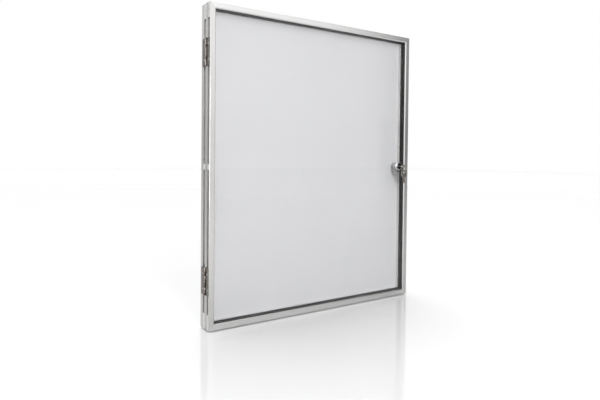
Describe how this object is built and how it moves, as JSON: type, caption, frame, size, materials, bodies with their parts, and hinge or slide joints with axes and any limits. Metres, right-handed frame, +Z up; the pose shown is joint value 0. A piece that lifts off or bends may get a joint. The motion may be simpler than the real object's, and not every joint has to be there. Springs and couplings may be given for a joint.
{
  "type": "lockable notice board",
  "caption": "Wall-mounted notice board: rear frame with white magnetic panel, and a clear framed door on side hinges with a cylinder lock and keys.",
  "frame": {"origin": "centre of the back plane, which is also the centre of the four wall screws", "axes": "+Z up, +Y back into the wall, so the door faces -Y; +X towards the lock side, hinges at -X"},
  "size_m": [0.6353, 0.0767, 0.75],
  "materials": {
    "anodised_extrusion": "satin natural anodised",
    "corner_plastic": "light grey moulded",
    "clear_pane": "clear polished",
    "black_rubber": "soft black",
    "black_plastic": "extruded black",
    "white_panel": "white enamel, slightly glossy",
    "core_board": "pressed fibre board",
    "zinc_sheet": "zinc coated",
    "hinge_steel": "polished stainless",
    "screw_steel": "plain bright",
    "lock_chrome": "bright chrome",
    "key_nickel": "nickel plated"
  },
  "bodies": {
    "wall_frame": {"frame_bottom_left_connector": "corner_plastic", "frame_bottom_rail": "anodised_extrusion", "frame_bottom_right_connector": "corner_plastic", "frame_grub_screws": "screw_steel", "frame_hinge_screws": "screw_steel", "frame_left_stile": "anodised_extrusion", "frame_right_stile": "anodised_extrusion", "frame_slot_clip": "corner_plastic", "frame_top_left_connector": "corner_plastic", "frame_top_rail": "anodised_extrusion", "frame_top_right_connector": "corner_plastic", "lower_hinge_frame_leaf": "hinge_steel", "lower_hinge_frame_nut_plate": "screw_steel", "lower_hinge_pin": "hinge_steel", "panel_core": "core_board", "panel_rear_sheet": "zinc_sheet", "panel_tray": "white_panel", "upper_hinge_frame_leaf": "hinge_steel", "upper_hinge_frame_nut_plate": "screw_steel", "upper_hinge_pin": "hinge_steel"},
    "door": {"bottom_door_seal": "black_rubber", "bottom_front_gasket": "black_rubber", "bottom_glazing_bead": "black_plastic", "door_bottom_left_connector": "corner_plastic", "door_bottom_rail": "anodised_extrusion", "door_bottom_right_connector": "corner_plastic", "door_grub_screws": "screw_steel", "door_hinge_screws": "screw_steel", "door_left_stile": "anodised_extrusion", "door_pane": "clear_pane", "door_right_stile": "anodised_extrusion", "door_slot_clip": "corner_plastic", "door_top_left_connector": "corner_plastic", "door_top_rail": "anodised_extrusion", "door_top_right_connector": "corner_plastic", "left_door_seal": "black_rubber", "left_front_gasket": "black_rubber", "left_glazing_bead": "black_plastic", "lock_gasket": "black_rubber", "lock_housing": "lock_chrome", "lock_nut": "lock_chrome", "lock_washer": "screw_steel", "lower_hinge_door_leaf": "hinge_steel", "lower_hinge_door_nut_plate": "screw_steel", "right_door_seal": "black_rubber", "right_front_gasket": "black_rubber", "right_glazing_bead": "black_plastic", "top_door_seal": "black_rubber", "top_front_gasket": "black_rubber", "top_glazing_bead": "black_plastic", "upper_hinge_door_leaf": "hinge_steel", "upper_hinge_door_nut_plate": "screw_steel"},
    "lock_rotor": {"lock_plug": "lock_chrome", "lock_cam": "screw_steel", "cam_screw": "screw_steel", "cam_washer": "screw_steel", "key": "key_nickel"},
    "ring": {"key_ring": "key_nickel"},
    "loose_key": {"spare_key": "key_nickel"}
  },
  "joints": [
    {"name": "door_hinge", "type": "hinge", "parent": "wall_frame", "child": "door", "pos_m": [-0.3178, -0.0287, 0], "axis": [0, 0, -1], "range_deg": [0, 170]},
    {"name": "lock_turn", "type": "hinge", "parent": "door", "child": "lock_rotor", "pos_m": [0.28, -0.0444, 0.001], "axis": [0, -1, 0], "range_deg": [0, 90]},
    {"name": "ring_swing", "type": "hinge", "parent": "lock_rotor", "child": "ring", "pos_m": [0.28, -0.0676, 0.0032], "axis": [0, -1, 0], "range_deg": [-30, 30]},
    {"name": "spare_key_swing", "type": "hinge", "parent": "ring", "child": "loose_key", "pos_m": [0.28, -0.0676, -0.0135], "axis": [0, -1, 0], "range_deg": [-45, 45]}
  ]
}
